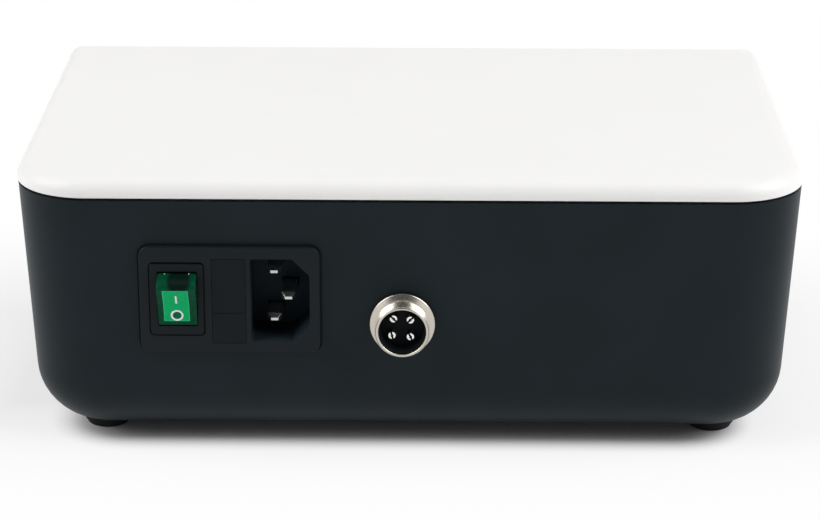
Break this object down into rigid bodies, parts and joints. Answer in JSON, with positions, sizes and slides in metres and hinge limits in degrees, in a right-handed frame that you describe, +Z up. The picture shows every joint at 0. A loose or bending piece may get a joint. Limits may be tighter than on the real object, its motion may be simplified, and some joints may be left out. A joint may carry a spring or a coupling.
{
  "type": "dental micromotor control unit",
  "caption": "Desktop control unit of a brushless dental micromotor: black tub, white lid, rear mains inlet module and round pedal socket, front speed knob and display.",
  "frame": {"origin": "on the bench plane, under the centre of the outline, knob and pedal socket included", "axes": "+X along the width, to the right as seen from the front; +Y to the rear, where the mains inlet is; +Z up"},
  "size_m": [0.218, 0.1596, 0.0797],
  "materials": {
    "lid": "white satin moulded plastic",
    "case": "fine matt black moulded plastic with a cool tint",
    "panel": "smooth black",
    "lens": "polished smoked plastic",
    "display": "dark grey frame",
    "board": "green solder mask",
    "knob": "dark grey with fine grain",
    "steel": "plated steel",
    "nickel": "bright nickel plate",
    "button": "white satin",
    "insulator": "black",
    "module": "satin black",
    "rocker": "translucent green",
    "lamp": "clear green",
    "fuse_glass": "clear",
    "rubber": "matt black",
    "winding": "yellow tape over a winding",
    "sleeve": "dark blue shrink sleeve",
    "ferrite": "grey-black ferrite with enamelled wire",
    "aluminium": "extruded",
    "cable": "grey sleeved wires"
  },
  "bodies": {
    "root": {"lower_case": "case", "top_cover": "lid", "front_panel": "panel", "display_window": "lens", "display_module": "display", "control_board": "board", "speed_pot": "steel", "pot_nut": "nickel", "motor_socket_shell": "nickel", "motor_socket_insert": "insulator", "motor_socket_nut": "nickel", "inlet_housing": "module", "line_pin": "nickel", "neutral_pin": "nickel", "earth_pin": "nickel", "switch_body": "module", "switch_lamp": "lamp", "pedal_socket_shell": "nickel", "pedal_socket_insert": "insulator", "pedal_socket_nut": "nickel", "power_board": "board", "transformer": "winding", "bulk_capacitor": "sleeve", "line_choke": "ferrite", "power_heatsink": "aluminium", "drive_board": "board", "motor_driver": "insulator", "drive_heatsink": "aluminium", "mains_loom": "cable", "dc_loom": "cable", "motor_loom": "cable", "pedal_loom": "cable", "panel_loom": "cable", "run_switch": "insulator", "direction_switch": "insulator", "pedal_switch": "insulator", "memory_switch": "insulator", "pedal_pin_1": "nickel", "pedal_pin_2": "nickel", "pedal_pin_3": "nickel", "pedal_pin_4": "nickel", "foot_front_left": "rubber", "case_screw_front_left": "steel", "foot_front_right": "rubber", "case_screw_front_right": "steel", "foot_rear_left": "rubber", "case_screw_rear_left": "steel", "foot_rear_right": "rubber", "case_screw_rear_right": "steel"},
    "rocker": {"power_rocker": "rocker"},
    "fuse_drawer": {"fuse_drawer": "module", "active_fuse": "fuse_glass", "spare_fuse": "fuse_glass"},
    "knob": {"speed_knob": "knob", "pot_shaft": "steel"},
    "run_button": {"run_button": "button"},
    "direction_button": {"direction_button": "button"},
    "pedal_button": {"pedal_button": "button"},
    "memory_button": {"memory_button": "button"}
  },
  "joints": [
    {"name": "rocker_press", "type": "hinge", "parent": "root", "child": "rocker", "pos_m": [0.0635, 0.07355, 0.0465], "axis": [1, 0, 0], "range_deg": [0, 44]},
    {"name": "fuse_drawer_slide", "type": "slide", "parent": "root", "child": "fuse_drawer", "axis": [0, 1, 0], "range_m": [0, 0.02]},
    {"name": "speed_turn", "type": "hinge", "parent": "root", "child": "knob", "pos_m": [0.0657, -0.06525, 0.0465], "axis": [0, 1, 0], "range_deg": [0, 300]},
    {"name": "run_press", "type": "slide", "parent": "root", "child": "run_button", "axis": [0, 1, 0], "range_m": [0, 0.0006], "stiffness_N_per_m": 1500},
    {"name": "direction_press", "type": "slide", "parent": "root", "child": "direction_button", "axis": [0, 1, 0], "range_m": [0, 0.0006], "stiffness_N_per_m": 1500},
    {"name": "pedal_press", "type": "slide", "parent": "root", "child": "pedal_button", "axis": [0, 1, 0], "range_m": [0, 0.0006], "stiffness_N_per_m": 1500},
    {"name": "memory_press", "type": "slide", "parent": "root", "child": "memory_button", "axis": [0, 1, 0], "range_m": [0, 0.0006], "stiffness_N_per_m": 1500}
  ]
}
